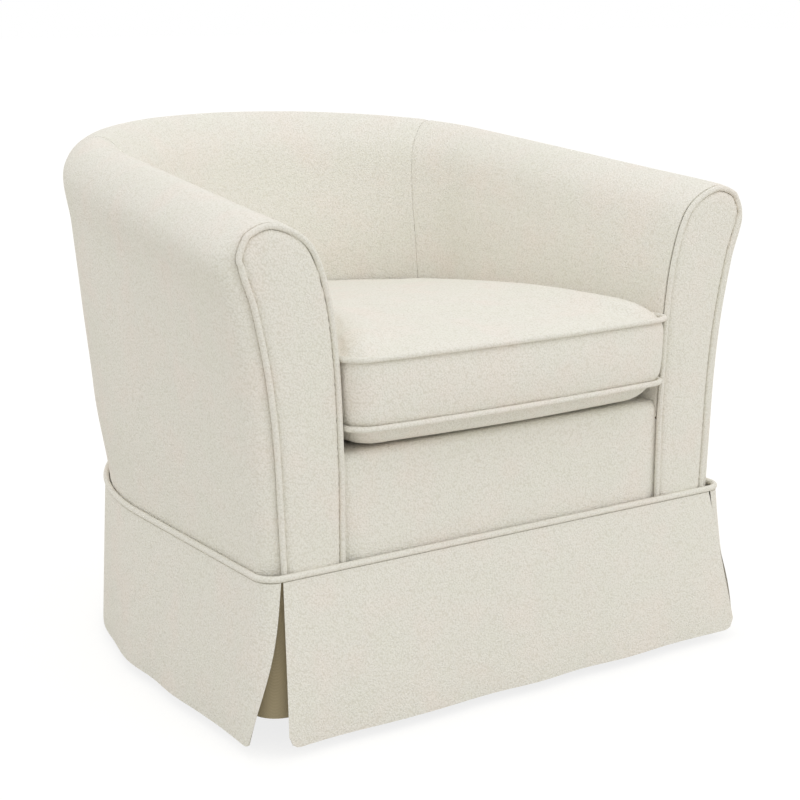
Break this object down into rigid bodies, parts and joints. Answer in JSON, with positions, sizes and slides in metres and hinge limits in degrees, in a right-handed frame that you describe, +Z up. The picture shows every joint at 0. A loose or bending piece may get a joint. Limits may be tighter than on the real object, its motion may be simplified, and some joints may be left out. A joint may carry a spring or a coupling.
{
  "type": "swivel barrel chair",
  "caption": "Upholstered swivel barrel chair with rolled arms, a loose boxed seat cushion and a kick-pleat skirt that hides a floor-ring swivel base.",
  "frame": {"origin": "on the floor at the centre of the plan, on the swivel's axis", "axes": "+Z up, the front of the chair faces -Y, +X is to the right in a view from the front"},
  "size_m": [0.7818, 0.8085, 0.6772],
  "materials": {
    "boucle": "fine cream boucle cloth, matt",
    "lining": "olive lining cloth, matt",
    "foam": "polyurethane foam",
    "plywood": "sawn plywood",
    "hardwood": "planed hardwood",
    "spring_steel": "oil-tempered wire",
    "zinc_steel": "zinc-plated pressed steel",
    "black_steel": "black powder coat, satin",
    "black_cloth": "black spunbond cloth",
    "zip_tape": "cream zip tape",
    "nylon": "moulded nylon"
  },
  "bodies": {
    "base": {"base_ring": "black_steel", "base_spider": "black_steel", "base_glide_right": "nylon", "base_glide_rear": "nylon", "base_glide_left": "nylon", "base_glide_front": "nylon", "swivel_lower_plate": "zinc_steel", "swivel_ball_ring": "zinc_steel"},
    "chair": {"outside_cover_back": "boucle", "inside_cover_back": "boucle", "deck_cloth": "boucle", "front_border_cover": "boucle", "skirt_front": "boucle", "skirt_back": "boucle", "skirt_welt": "boucle", "outside_cover_right": "boucle", "outside_cover_left": "boucle", "inside_cover_arm_right": "boucle", "inside_cover_arm_left": "boucle", "arm_front_panel_right": "boucle", "arm_front_panel_left": "boucle", "arm_front_welt_right": "boucle", "arm_front_welt_left": "boucle", "skirt_side_right": "boucle", "skirt_side_left": "boucle", "pleat_underlay_front_right": "lining", "pleat_underlay_front_left": "lining", "pleat_underlay_rear_right": "lining", "pleat_underlay_rear_left": "lining", "back_pad": "foam", "deck_pad": "foam", "front_border_pad": "foam", "arm_pad_right": "foam", "arm_pad_left": "foam", "bottom_ring": "plywood", "seat_ring": "plywood", "top_rail": "plywood", "front_board": "plywood", "arm_front_board_right": "plywood", "arm_front_board_left": "plywood", "post_arm_right": "hardwood", "post_arm_left": "hardwood", "post_corner_right": "hardwood", "post_corner_left": "hardwood", "post_back_right": "hardwood", "post_back_left": "hardwood", "batten_rear": "hardwood", "batten_front": "hardwood", "spring_1": "spring_steel", "spring_2": "spring_steel", "spring_3": "spring_steel", "spring_4": "spring_steel", "spring_5": "spring_steel", "dust_cover": "black_cloth", "swivel_upper_plate": "zinc_steel"},
    "seat_cushion": {"seat_cushion": "boucle", "seat_cushion_welt_top": "boucle", "seat_cushion_welt_bottom": "boucle", "seat_cushion_zip": "zip_tape"}
  },
  "joints": [
    {"name": "swivel", "type": "hinge", "parent": "base", "child": "chair", "pos_m": [0, 0, 0.087], "axis": [0, 0, 1], "continuous": true},
    {"name": "cushion_lift", "type": "slide", "parent": "chair", "child": "seat_cushion", "axis": [0, 0, 1], "range_m": [0, 0.45]}
  ]
}
